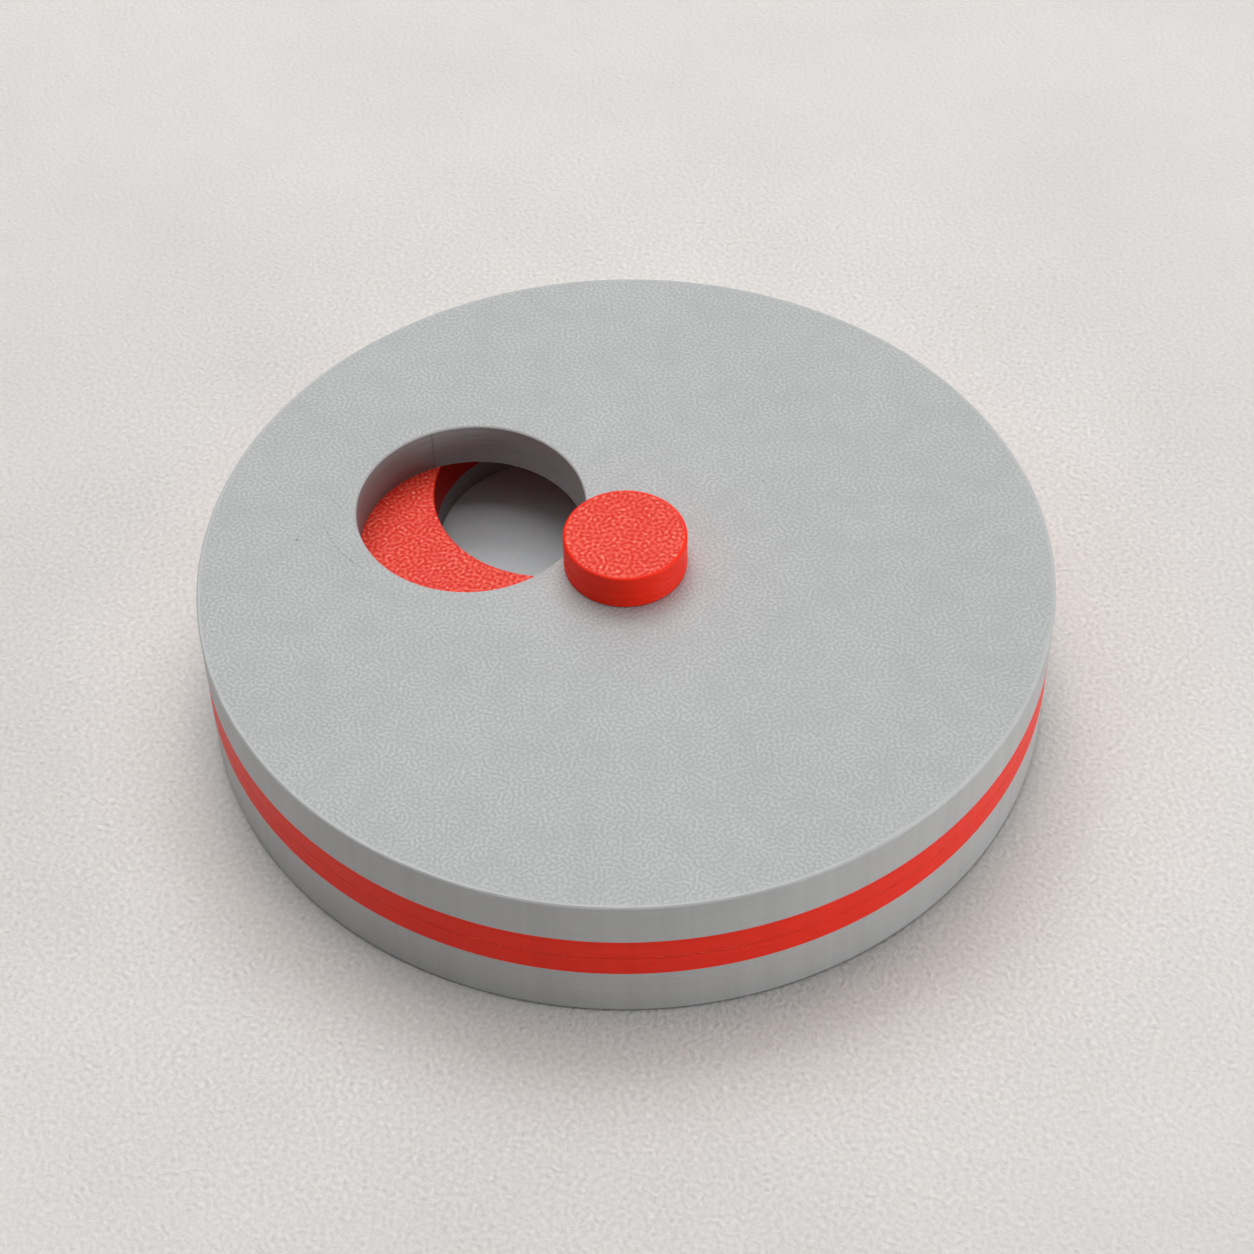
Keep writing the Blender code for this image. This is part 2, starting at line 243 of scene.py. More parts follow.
# ---------------------------------------------------------------- materials
class Graph:
    """Short-hand for a node material in millimetre object coordinates."""

    def __init__(self, name):
        self.mat = bpy.data.materials.new(name)
        self.mat.use_nodes = True
        self.tree = self.mat.node_tree
        self.tree.nodes.clear()
        self.out = self.add("ShaderNodeOutputMaterial")
        self.bsdf = self.add("ShaderNodeBsdfPrincipled")
        self.link(self.bsdf.outputs[0], self.out.inputs[0])
        coord = self.add("ShaderNodeTexCoord")
        self.mm = self.vec("SCALE", coord.outputs["Object"], scale=1000.0)

    def add(self, kind, **props):
        node = self.tree.nodes.new(kind)
        for key, value in props.items():
            setattr(node, key, value)
        return node

    def link(self, a, b):
        self.tree.links.new(a, b)

    def put(self, socket, value):
        if isinstance(value, bpy.types.NodeSocket):
            self.link(value, socket)
        elif value is not None:
            socket.default_value = value

    def vec(self, op, a, b=None, scale=None):
        node = self.add("ShaderNodeVectorMath", operation=op)
        self.put(node.inputs[0], a)
        if b is not None:
            self.put(node.inputs[1], b)
        if scale is not None:
            self.put(node.inputs["Scale"], scale)
        return node.outputs["Value" if op in ("LENGTH", "DISTANCE", "DOT_PRODUCT")
                            else "Vector"]

    def math(self, op, a, b=None, c=None, clamp=False):
        node = self.add("ShaderNodeMath", operation=op, use_clamp=clamp)
        for socket, value in zip(node.inputs, (a, b, c)):
            self.put(socket, value)
        return node.outputs[0]

    def remap(self, value, a, b, lo=0.0, hi=1.0, smooth=True):
        node = self.add("ShaderNodeMapRange", clamp=True,
                        interpolation_type="SMOOTHSTEP" if smooth else "LINEAR")
        self.put(node.inputs["Value"], value)
        for key, v in (("From Min", a), ("From Max", b), ("To Min", lo),
                       ("To Max", hi)):
            self.put(node.inputs[key], v)
        return node.outputs[0]

    def noise(self, vector, scale, detail=2.0, rough=0.5, distortion=0.0):
        node = self.add("ShaderNodeTexNoise")
        self.put(node.inputs["Vector"], vector)
        node.inputs["Scale"].default_value = scale
        node.inputs["Detail"].default_value = detail
        node.inputs["Roughness"].default_value = rough
        node.inputs["Distortion"].default_value = distortion
        return node.outputs["Fac"]

    def noise_vec(self, vector, scale, detail=1.0):
        node = self.add("ShaderNodeTexNoise")
        self.put(node.inputs["Vector"], vector)
        node.inputs["Scale"].default_value = scale
        node.inputs["Detail"].default_value = detail
        return node.outputs["Color"]

    def gabor(self, vector, scale, frequency, anisotropy=0.0):
        node = self.add("ShaderNodeTexGabor", gabor_type="2D")
        self.put(node.inputs["Vector"], vector)
        node.inputs["Scale"].default_value = scale
        node.inputs["Frequency"].default_value = frequency
        node.inputs["Anisotropy"].default_value = anisotropy
        return node.outputs["Value"]

    def mix(self, fac, a, b):
        node = self.add("ShaderNodeMix", data_type="RGBA")
        self.put(node.inputs[0], fac)
        for socket, v in ((node.inputs[6], a), (node.inputs[7], b)):
            self.put(socket, (*v, 1.0) if isinstance(v, tuple) and len(v) == 3 else v)
        return node.outputs[2]

    def bump(self, height, distance, strength=1.0, normal=None):
        node = self.add("ShaderNodeBump")
        self.put(node.inputs["Height"], height)
        node.inputs["Distance"].default_value = distance
        node.inputs["Strength"].default_value = strength
        if normal is not None:
            self.link(normal, node.inputs["Normal"])
        return node.outputs[0]

    def set(self, **values):
        for key, value in values.items():
            self.put(self.bsdf.inputs[key.replace("_", " ")],
                     (*value, 1.0) if isinstance(value, tuple) and len(value) == 3
                     else value)


def tint(colour, k):
    return tuple(min(1.0, c * k) for c in colour)


def worm_texture(g, period, seed=0.0):
    """Short curled ridges of a textured print plate, from 0 to 1."""
    v = g.vec("ADD", g.mm, (seed * 13.7, seed * 5.1, 0.0))
    warp = g.vec("SCALE", g.vec("SUBTRACT", g.noise_vec(v, 0.5 / period), (0.5, 0.5, 0.5)),
                 scale=0.55 * period)
    v = g.vec("ADD", v, warp)
    return g.gabor(v, 0.60 / period, 1.6)


def scuff(g, centre, radius, start, end, depth, width=0.07):
    """Thin curved scratch: part of a circle, given by two directions in degrees."""
    v = g.vec("SUBTRACT", g.mm, (centre[0], centre[1], 0.0))
    flat = g.vec("MULTIPLY", v, (1.0, 1.0, 0.0))
    off = g.math("ABSOLUTE", g.math("SUBTRACT", g.vec("LENGTH", flat), radius))
    line = g.remap(off, width * 0.4, width, 1.0, 0.0)
    mid = math.radians((start + end) / 2.0)
    along = g.vec("DOT_PRODUCT", g.vec("NORMALIZE", flat), (math.cos(mid), math.sin(mid), 0.0))
    half = math.radians(abs(end - start) / 2.0)
    part = g.remap(along, math.cos(half), math.cos(half * 0.6), 0.0, 1.0)
    broken = g.remap(g.noise(g.mm, 2.6, 2.0, 0.6), 0.36, 0.56, 0.25, 1.0)
    return g.math("MULTIPLY", g.math("MULTIPLY", line, part), g.math("MULTIPLY", broken, depth))


def speck(g, x, y, radius, depth):
    """Small dark or bright dot on a flat face."""
    v = g.vec("MULTIPLY", g.vec("SUBTRACT", g.mm, (x, y, 0.0)), (1.0, 1.0, 0.0))
    warp = g.vec("SCALE", g.vec("SUBTRACT", g.noise_vec(g.mm, 5.0), (0.5, 0.5, 0.5)),
                 scale=radius * 1.6)
    return g.remap(g.vec("LENGTH", g.vec("ADD", v, warp)), radius * 0.5, radius, depth, 0.0)


GREY = (0.450, 0.460, 0.461)
RED = (0.84, 0.020, 0.010)


def plate_texture(name, colour, ridge_sheen_colour, period, rough, relief,
                  specular=0.5, seed=0.0, mottle=0.03, edges=(0.36, 0.68),
                  tip_glint=None, scuffs=(), specks=()):
    """Face printed on a textured plate: fine curled ridges with real bump relief, the ridges painted in a lighter
    ridge sheen colour as a painted highlight and, with a tip glint colour, painted glints on the highest ridge
    tips.
    """
    g = Graph(name)
    fine = g.noise(g.mm, 3.4, 3.0, 0.6)
    worms = g.math("ADD", worm_texture(g, period, seed),
                   g.math("MULTIPLY", g.math("SUBTRACT", fine, 0.5), 0.45))
    ridge = g.remap(worms, *edges)
    patchy = g.remap(g.noise(g.mm, 0.35, 2.0, 0.5), 0.3, 0.6, 0.60, 1.0)
    broad = g.noise(g.mm, 0.09, 3.0, 0.6)
    shade = g.math("ADD", g.math("MULTIPLY", g.math("SUBTRACT", broad, 0.5), mottle * 4.0),
                   g.math("MULTIPLY", g.math("SUBTRACT", fine, 0.5), mottle * 2.0))
    for mark in [scuff(g, *m) for m in scuffs] + [speck(g, *m) for m in specks]:
        shade = g.math("ADD", shade, mark)
    # Painted highlight: ridges take the lighter ridge sheen colour; with a tip glint colour the highest tips take a
    # near-white painted glint.
    low = g.mix(g.math("MULTIPLY", ridge, patchy), colour, ridge_sheen_colour)
    if tip_glint is not None:
        tip_glint_mask = g.math("MULTIPLY", g.remap(worms, 0.58, 0.80),
                       g.remap(g.noise(g.mm, 0.9, 2.0, 0.6), 0.42, 0.62))
        low = g.mix(tip_glint_mask, low, tip_glint)
    bright = g.add("ShaderNodeHueSaturation")
    g.put(bright.inputs["Value"], g.math("ADD", shade, 1.0))
    g.put(bright.inputs["Color"], low)
    height = g.math("ADD", g.math("MULTIPLY", ridge, 0.8),
                    g.math("MULTIPLY", fine, 0.30))
    g.set(Base_Color=bright.outputs[0],
          Roughness=g.remap(ridge, 0.0, 1.0, rough + 0.06, rough - 0.06, False))
    g.bsdf.inputs["Specular IOR Level"].default_value = specular
    g.link(g.bump(height, relief * MM), g.bsdf.inputs["Normal"])
    return g.mat


def printed_wall(name, colour, rough, relief, specular=0.5, streak=0.05,
                 upright_streak=0.05, joint=None, bead_highlight=None, seams=(), foot=None,
                 rim_highlight_height=None):
    """Upright printed wall: drawn-out lines along each layer, faint streaks.

    joint is the height of a pressed joint: a painted shadow line just under it, and bright beads of the bead
    highlight colour along it as painted highlights on the real crumbs there;
    seams are upright start-of-layer lines (centre, degrees, half width, depth);
    foot is the height of the lowest band, which is darkened as a painted contact shadow; with foot given, the rim
    highlight height lightens the band just under the top edge as a painted highlight.
    """
    g = Graph(name)
    v = g.mm
    lines = g.noise(g.vec("MULTIPLY", v, (0.06, 0.06, 5.2)), 1.0, 3.0, 0.70)
    thin = g.noise(g.vec("MULTIPLY", v, (0.25, 0.25, 10.0)), 1.0, 2.0, 0.6)
    upright = g.noise(g.vec("MULTIPLY", v, (0.75, 0.75, 0.03)), 1.0, 4.0, 0.65)
    grain = g.noise(v, 5.0, 2.0, 0.6)
    shade = g.math("ADD", g.math("MULTIPLY", g.math("SUBTRACT", lines, 0.5), streak),
                   g.math("MULTIPLY", g.math("SUBTRACT", upright, 0.5), upright_streak))
    shade = g.math("ADD", shade, g.math("MULTIPLY", g.math("SUBTRACT", thin, 0.5),
                                        streak * 0.6))
    for centre, degrees, half, depth in seams:
        a = math.radians(degrees)
        arm = g.vec("SUBTRACT", v, (centre[0], centre[1], 0.0))
        side = g.math("ABSOLUTE", g.vec("DOT_PRODUCT", arm, (-math.sin(a), math.cos(a), 0.0)))
        front = g.math("GREATER_THAN", g.vec("DOT_PRODUCT", arm,
                                             (math.cos(a), math.sin(a), 0.0)), 0.0)
        line = g.math("MULTIPLY", g.remap(side, half * 0.3, half, depth, 0.0), front)
        shade = g.math("ADD", shade, g.math("MULTIPLY", line,
                                            g.remap(thin, 0.35, 0.60, 0.35, 1.0)))
    # Painted shade: the wall's lowest band, up to foot * 1.2, is darkened as a painted contact shadow line at the
    # foot.
    if foot is not None:
        height = g.add("ShaderNodeSeparateXYZ")
        g.link(v, height.inputs[0])
        shade = g.math("ADD", shade, g.remap(height.outputs[2], foot * 0.6, foot * 1.2,
                                             -0.62, 0.0))
        # Painted highlight: the band just under the rim highlight height is lightened as a bright rim along the top
        # edge.
        shade = g.math("ADD", shade, g.remap(height.outputs[2], rim_highlight_height - 0.16, rim_highlight_height - 0.10,
                                             0.0, 0.11))
    base = (*colour, 1.0)
    # Painted shade and highlight at the joint: a dark painted shadow line just under it, and bright beads along it
    # painted as highlights on the real crumbs there.
    if joint is not None:
        sep = g.add("ShaderNodeSeparateXYZ")
        g.link(v, sep.inputs[0])
        rise = g.math("SUBTRACT", sep.outputs[2], joint)
        flat = g.vec("MULTIPLY", v, (1.0, 1.0, 0.0))
        bead_glint_spots = g.math("MULTIPLY", g.remap(g.noise(flat, 1.9, 1.0, 0.5), 0.48, 0.60),
                       g.remap(g.noise(flat, 0.10, 2.0, 0.5), 0.40, 0.56))
        painted_bead_glint = g.math("MULTIPLY", bead_glint_spots, g.remap(
            g.math("ABSOLUTE", g.math("SUBTRACT", rise, 0.03)), 0.03, 0.085, 1.0, 0.0))
        painted_joint_shadow = g.remap(g.math("ABSOLUTE", g.math("ADD", rise, 0.055)), 0.02, 0.07, 0.16, 0.0)
        shade = g.math("SUBTRACT", shade, painted_joint_shadow)
        base = g.mix(g.math("MULTIPLY", painted_bead_glint, 0.60), base, (*bead_highlight, 1.0))
    bright = g.add("ShaderNodeHueSaturation")
    g.put(bright.inputs["Value"], g.math("ADD", shade, 1.0))
    g.put(bright.inputs["Color"], base)
    height = g.math("ADD", g.math("MULTIPLY", lines, 0.6),
                    g.math("ADD", g.math("MULTIPLY", thin, 0.3),
                           g.math("MULTIPLY", grain, 0.15)))
    g.set(Base_Color=bright.outputs[0],
          Roughness=g.remap(lines, 0.3, 0.7, rough - 0.05, rough + 0.05, False))
    g.bsdf.inputs["Specular IOR Level"].default_value = specular
    g.link(g.bump(height, relief * MM), g.bsdf.inputs["Normal"])
    return g.mat


def smooth_face(name, colour, rough, specular=0.5):
    """Flat inner face: nearly smooth, with faint swirl and grain."""
    g = Graph(name)
    broad = g.noise(g.mm, 0.12, 2.0, 0.5)
    turn = math.radians(62.0)
    along = g.vec("DOT_PRODUCT", g.mm, (math.cos(turn), math.sin(turn), 0.0))
    across = g.vec("DOT_PRODUCT", g.mm, (-math.sin(turn), math.cos(turn), 0.0))
    drawn = g.add("ShaderNodeCombineXYZ")
    g.link(g.math("MULTIPLY", along, 0.12), drawn.inputs[0])
    g.link(g.math("MULTIPLY", across, 3.6), drawn.inputs[1])
    grain = g.noise(drawn.outputs[0], 1.0, 3.0, 0.6)
    shade = g.math("ADD", g.math("MULTIPLY", g.math("SUBTRACT", broad, 0.5), 0.05),
                   g.math("MULTIPLY", g.math("SUBTRACT", grain, 0.5), 0.16))
    bright = g.add("ShaderNodeHueSaturation")
    g.put(bright.inputs["Value"], g.math("ADD", shade, 1.0))
    g.put(bright.inputs["Color"], (*colour, 1.0))
    g.set(Base_Color=bright.outputs[0],
          Roughness=g.remap(grain, 0.3, 0.7, rough - 0.04, rough + 0.04, False))
    g.bsdf.inputs["Specular IOR Level"].default_value = specular
    g.link(g.bump(grain, 0.010 * MM), g.bsdf.inputs["Normal"])
    return g.mat


def turned_metal(name, colour, rough, relief=0.004):
    """Plated or turned metal: fine rings round the axis and small blotches."""
    g = Graph(name)
    sep = g.add("ShaderNodeSeparateXYZ")
    g.link(g.mm, sep.inputs[0])
    flat = g.vec("MULTIPLY", g.mm, (1.0, 1.0, 0.0))
    radius = g.vec("LENGTH", flat)
    turned = g.add("ShaderNodeCombineXYZ")
    g.link(radius, turned.inputs[0])
    g.link(sep.outputs[2], turned.inputs[1])
    rings = g.noise(turned.outputs[0], 14.0, 2.0, 0.6)
    blotch = g.noise(g.mm, 0.9, 3.0, 0.6)
    bright = g.add("ShaderNodeHueSaturation")
    g.put(bright.inputs["Value"],
          g.remap(blotch, 0.3, 0.7, 0.88, 1.06, False))
    g.put(bright.inputs["Color"], (*colour, 1.0))
    g.set(Base_Color=bright.outputs[0],
          Roughness=g.remap(rings, 0.3, 0.7, rough - 0.07, rough + 0.09, False))
    g.bsdf.inputs["Metallic"].default_value = 1.0
    g.link(g.bump(rings, relief * MM), g.bsdf.inputs["Normal"])
    return g.mat


SCUFFS = [((-15.97, 8.94), 11.78, 194.0, 235.0, -0.30),
          ((-16.34, 14.85), 12.02, 205.0, 222.0, -0.20)]
SPECKS = [(-29.4, 3.4, 0.17, -0.50), (12.6, 9.8, 0.14, -0.40), (12.6, 10.5, 0.10, -0.30), (25.5, -6.8, 0.12, -0.35),
          (-7.5, -21.5, 0.12, -0.35), (5.4, 24.5, 0.12, 0.30), (-21.0, -9.6, 0.11, 0.30)]
# Grey plate: ridges painted lighter (1.14 against 0.935 of the grey) as a painted highlight.
GREY_PLATE = plate_texture("grey_plate_texture", tint(GREY, 0.935), tint(GREY, 1.14),
                           0.46, 0.50, 0.042, scuffs=SCUFFS, specks=SPECKS)
# Grey outer wall, with painted contact shade at the foot and a painted highlight just under the top rim.
GREY_WALL = printed_wall("grey_printed_wall", tint(GREY, 0.97), 0.46, 0.022,
                         streak=0.20, upright_streak=0.26,
                         seams=[((0.0, 0.0), 238.6, 0.20, -0.06)], foot=0.29,
                         rim_highlight_height=Z_COVER[1])
# Smooth grey faces, lighter and bluer than the grey plastic: painted sheen of the glossy pocket floor reflecting
# the lamps.
GREY_SMOOTH_SHEEN = smooth_face("grey_smooth_face_painted_sheen", (0.585, 0.625, 0.640), 0.34)
# Window wall of the cover, much darker than the grey plastic: painted shade inside the window; the start-of-layer
# seam line is real.
GREY_INNER_SHADED = printed_wall("grey_inner_wall_painted_shade", (0.318, 0.345, 0.346), 0.50, 0.050,
                          specular=0.35, streak=0.60, seams=[(WINDOW_C, 112.0, 0.15, -0.32)])
# Pocket wall, the grey darkened to 0.62: painted shade in the deep recess.
GREY_POCKET_SHADED = printed_wall("grey_pocket_wall_painted_shade", tint(GREY, 0.62), 0.55, 0.040,
                           specular=0.3, streak=0.60)
# Red plate: lighter, pinker ridges and pink tips, painted highlights of the lamps on the ridges.
RED_PLATE = plate_texture("red_plate_texture", (0.80, 0.018, 0.006),
                          (0.95, 0.110, 0.064), 0.50, 0.44, 0.044, specular=0.24,
                          seed=3.0, tip_glint=(0.99, 0.27, 0.21), edges=(0.36, 0.64))
# Height of the joint between the two red plates, where the red wall paints a shadow line and highlight beads.
JOINT = (Z_LOWER[1] + Z_UPPER[0]) / 2.0
# Red outer wall, lighter than the plates' red (0.80): painted glow standing in for light passing into the red
# plastic.
RED_WALL = printed_wall("red_printed_wall", (0.87, 0.024, 0.007), 0.42, 0.018,
                        specular=0.16, streak=0.22, upright_streak=0.20,
                        joint=JOINT, bead_highlight=(1.0, 0.20, 0.09))
# Knob wall, lighter still: painted glow standing in for light passing into the red plastic.
RED_KNOB = printed_wall("red_knob_wall", (0.97, 0.028, 0.008), 0.38, 0.034,
                        specular=0.14, streak=0.22)
RED_SMOOTH = smooth_face("red_smooth_face", tint(RED, 0.95), 0.40, 0.3)
# Inner walls of the red holes, darkened to about 0.6 of the red: painted shade in the holes.
RED_INNER_SHADED = printed_wall("red_inner_wall_painted_shade", (0.50, 0.012, 0.006), 0.45, 0.020,
                         specular=0.2, streak=0.15)
STEEL = turned_metal("zinc_steel", (0.62, 0.62, 0.61), 0.30)
BRASS = turned_metal("turned_brass", (0.72, 0.52, 0.22), 0.27)

# ------------------------------------------------------------------- pieces
PLATE, WALL, SMOOTH, INNER = 0, 1, 2, 3


def with_slot(points, slot):
    return [(r, z, slot) for r, z in points]


def dress(obj, mats, body, slot, *nodes):
    for i, m in enumerate(mats):
        obj.data.materials[i] = m
    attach(obj, body)
    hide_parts(*nodes)
    return obj


GREYS = (GREY_PLATE, GREY_WALL, GREY_SMOOTH_SHEEN, GREY_INNER_SHADED)
REDS = (RED_PLATE, RED_WALL, RED_SMOOTH, RED_INNER_SHADED)


def round_cutter(name, centre, radius, z_low, z_high, rng, steps=180,
                 floor=False, top_edge=0.0, low_edge=0.0, top_open=0.6):
    """Cutter for a printed round opening, with layered walls."""
    rows = [(0.0, z_high + top_open, SMOOTH)]
    flare = top_edge + top_open if top_edge > 0.0 else 0.0
    rows += [(radius + flare, z_high + top_open, WALL if top_edge > 0.0 else INNER)]
    if top_edge > 0.0:
        rows += [(radius, z_high - top_edge, INNER)]
    bottom = z_low + (0.0 if floor else low_edge)
    rows += with_slot(layered_wall(radius, z_high - top_edge, bottom, 0.016, rng,
                                   inward=True), INNER)
    if floor:
        rows += [(radius, z_low + 0.10, INNER), (radius - 0.03, z_low + 0.03, INNER),
                 (radius - 0.10, z_low, SMOOTH), (0.0, z_low, SMOOTH)]
    else:
        rows += [(radius, bottom, INNER),
                 (radius + (low_edge + top_open if low_edge > 0.0 else 0.0),
                  z_low - top_open, INNER), (0.0, z_low - top_open, INNER)]
    return moved(lathe(name, rows, steps, closed=False), *centre)


# base ----------------------------------------------------------------------
def make_base():
    rng = random.Random(11)
    foot = 0.26
    swell = wavy(2.2, 1)
    rows = [(R - 0.004, Z_BASE_TOP, WALL)]
    rows += with_slot(layered_wall(R - 0.004, Z_BASE_TOP, foot, 0.012, rng), WALL)
    rows += [(R - 0.004, foot, WALL), (R - 0.10, foot * 0.72, WALL),
             (R - foot, foot * 0.55, WALL),
             (R - foot - 0.03, 0.0, PLATE), (R - foot - 0.25, 0.0, PLATE),
             (4.15, 0.0, WALL), (4.0, 0.15, WALL),
             (4.0, 2.6, SMOOTH), (3.1, 2.6, WALL), (3.1, Z_BASE_TOP, SMOOTH),
             (R - 0.3, Z_BASE_TOP, SMOOTH)]

    def wobble(r, z, a):
        if r > R - 0.2:
            r = r + 0.004 * swell(a, z * 0.2) - 0.002
        return min(r, R), z
    base = lathe("base_shell", rows, 288, closed=True, wobble=wobble)
    pocket = round_cutter("pocket", HOLE_C, HOLE_R, POCKET_FLOOR, Z_BASE_TOP,
                          rng, floor=True)
    cut(base, pocket)
    return dress(to_metres(base), (GREY_PLATE, GREY_WALL, GREY_SMOOTH_SHEEN, GREY_POCKET_SHADED),
                 "base", "grey_plastic", "base_body")


# shutter -------------------------------------------------------------------
def make_plate(name, node, low, high, top_textured, seed):
    rng = random.Random(seed)
    top_slot = PLATE if top_textured else SMOOTH
    low_slot = SMOOTH if top_textured else PLATE
    seam_at_top = not top_textured
    swell = wavy(2.0, seed)
    crumb = wavy(60.0, seed + 1, 2)
    edge = 0.03
    rows = [(0.0, high, top_slot), (R - 0.35, high, top_slot)]
    rows += [(R - (edge if seam_at_top else 0.006), high, WALL)]
    rows += with_slot(layered_wall(R - 0.003, high - 0.04, low + 0.04, 0.011, rng), WALL)
    rows += [(R - (0.006 if seam_at_top else edge), low, low_slot),
             (R - 0.35, low, low_slot), (0.0, low, low_slot)]

    def wobble(r, z, a):
        if r > R - 0.2:
            r = r + 0.004 * swell(a, z * 0.2) - 0.002
            near_seam = (z > high - 0.05) if seam_at_top else (z < low + 0.05)
            if near_seam:
                r += 0.022 * max(0.0, crumb(a) - 0.28) / 0.3
        return min(r, R), z
    plate = lathe(name, rows, 288, closed=False, wobble=wobble)
    hole = round_cutter(name + "_hole", HOLE_C, HOLE_R, low, high, rng,
                        top_edge=0.10 if top_textured else 0.0,
                        low_edge=0.0)
    cut(plate, hole)
    bore = lathe(name + "_bore", [(0.0, high + 0.5, WALL), (3.05, high + 0.5, WALL),
                                  (3.05, low - 0.5, WALL), (0.0, low - 0.5, WALL)],
                 48, closed=False)
    for sign in (1.0, -1.0):
        flat = box_mesh("flat", (sign * (2.75 + 2.0), 0.0, (low + high) / 2.0),
                        (4.0, 12.0, high - low + 4.0))
        cut(bore, flat)
    bore.data.transform(Matrix.Rotation(HOLE_ANGLE, 4, "Z"))
    holes = [bore]
    for offset in (180.0, 60.0, -60.0):
        x, y = at(HOLE_ANGLE + math.radians(offset), 29.0)
        span = (high - 1.6, high + 0.5) if seam_at_top else (low - 0.5, low + 1.6)
        holes.append(moved(lathe("dowel_hole", [
            (0.0, span[1], WALL), (1.6, span[1], WALL), (1.6, span[0], WALL),
            (0.0, span[0], WALL)], 32, closed=False), x, y))
    cut(plate, joined("inner_holes", holes))
    return dress(to_metres(plate), REDS, "shutter", "red_plastic", node)


# cover ---------------------------------------------------------------------
def make_cover():
    rng = random.Random(5)
    low, high = Z_COVER
    edge = 0.12
    swell = wavy(2.4, 9)
    nick = wavy(26.0, 4, 3)
    rows = [(R - edge, high, WALL), (R - 0.003, high - edge, WALL)]
    rows += with_slot(layered_wall(R - 0.003, high - edge, low, 0.012, rng), WALL)
    rows += [(R - 0.003, low, SMOOTH), (R - 0.3, low, SMOOTH),
             (3.1, low, WALL), (3.1, high - 0.9, SMOOTH),
             (4.1, high - 0.9, WALL), (4.1, high, PLATE),
             (R - edge - 0.22, high, WALL)]

    def wobble(r, z, a):
        if r > R - edge - 0.01 and z > high - 0.001:
            r += 0.04 * nick(a) - 0.010
        elif r > R - 0.1:
            r = r + 0.004 * swell(a, z * 0.2) - 0.002
            if z > high - edge - 0.001:
                z += 0.04 * nick(a)
        return min(r, R), z
    cover = lathe("cover_shell", rows, 288, closed=True, wobble=wobble)
    window = round_cutter("window", WINDOW_C, WINDOW_R, low, high, rng, steps=200,
                          top_edge=0.12)
    cut(cover, window)
    return dress(to_metres(cover), GREYS, "cover", "grey_plastic", "top_cover")


# knob ----------------------------------------------------------------------
def make_knob():
    rng = random.Random(21)
    low, high = Z_KNOB
    rows = [(0.0, high, PLATE), (R_KNOB - 0.42, high, PLATE)]
    for i in range(6):
        t = math.radians(90.0 * i / 5)
        rows.append((R_KNOB - 0.26 + 0.26 * math.sin(t),
                     high - 0.20 + 0.20 * math.cos(t), WALL))
    rows += with_slot(layered_wall(R_KNOB, high - 0.22, low + 0.12, 0.030, rng), WALL)
    rows += [(R_KNOB, low + 0.10, WALL), (R_KNOB - 0.10, low, SMOOTH),
             (2.9, low, WALL), (2.9, 2.55, SMOOTH), (2.1, 2.55, WALL),
             (2.1, 8.6, WALL), (0.0, 8.6, WALL)]
    swell = wavy(3.0, 31)

    def wobble(r, z, a):
        if r > R_KNOB - 0.3:
            r += 0.008 * swell(a, z * 0.4) - 0.005
        return r, z
    knob = lathe("knob_body", rows, 144, closed=False, wobble=wobble)
    for sign in (1.0, -1.0):
        flat = box_mesh("flat", (sign * (2.6 + 1.5), 0.0, 9.78 / 2.0),
                        (3.0, 12.0, 9.78))
        flat.data.transform(Matrix.Rotation(HOLE_ANGLE, 4, "Z"))
        cut(knob, flat)
    return dress(to_metres(knob), (RED_PLATE, RED_KNOB, RED_SMOOTH, RED_INNER_SHADED),
                 "shutter", "red_plastic", "selector_knob")


make_base()
make_plate("shutter_lower_half", "lower_shutter_plate", *Z_LOWER, False, 17)
make_plate("shutter_upper_half", "upper_shutter_plate", *Z_UPPER, True, 23)
make_cover()
make_knob()

for node in ("retaining_screw", "retaining_washer", "wave_washer",
             "shutter_dowel_front", "shutter_dowel_left", "shutter_dowel_right"):
    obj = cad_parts[node]
    obj.data.materials.clear()
    obj.data.materials.append(STEEL)
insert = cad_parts["threaded_insert"]
insert.data.materials.clear()
insert.data.materials.append(BRASS)

# -------------------------------------------------------------------- stage
def make_floor():
    bm = bmesh.new()
    bmesh.ops.create_grid(bm, x_segments=4, y_segments=4, size=2.5)
    mesh = bpy.data.meshes.new("floor")
    bm.to_mesh(mesh)
    bm.free()
    floor = bpy.data.objects.new("floor", mesh)
    bpy.context.scene.collection.objects.link(floor)
    g = Graph("floor_paper")
    warp = g.vec("SCALE", g.vec("SUBTRACT", g.noise_vec(g.mm, 0.9), (0.5, 0.5, 0.5)),
                 scale=0.8)
    fibre = g.gabor(g.vec("ADD", g.mm, warp), 0.85, 1.5)
    speckle = g.noise(g.mm, 2.6, 3.0, 0.65)
    grain = g.math("ADD", g.math("MULTIPLY", fibre, 0.40), g.math("MULTIPLY", speckle, 0.60))
    near = g.remap(g.vec("LENGTH", g.mm), 46.0, 92.0, 0.74, 0.26)
    soft = g.noise(g.mm, 0.05, 4.0, 0.55)
    broad = g.noise(g.mm, 0.012, 2.0, 0.5)
    shade = g.math("ADD", g.math("MULTIPLY", g.math("SUBTRACT", grain, 0.5), near),
                   g.math("ADD",
                          g.math("MULTIPLY", g.math("SUBTRACT", soft, 0.5), 0.13),
                          g.math("MULTIPLY", g.math("SUBTRACT", broad, 0.5), 0.12)))
    bright = g.add("ShaderNodeHueSaturation")
    g.put(bright.inputs["Value"], g.math("ADD", shade, 1.0))
    g.put(bright.inputs["Color"], (0.736, 0.717, 0.694, 1.0))
    g.set(Base_Color=bright.outputs[0])
    g.bsdf.inputs["Roughness"].default_value = 0.85
    g.link(g.bump(grain, 0.20 * MM, 1.0), g.bsdf.inputs["Normal"])
    mesh.materials.append(g.mat)
    return floor


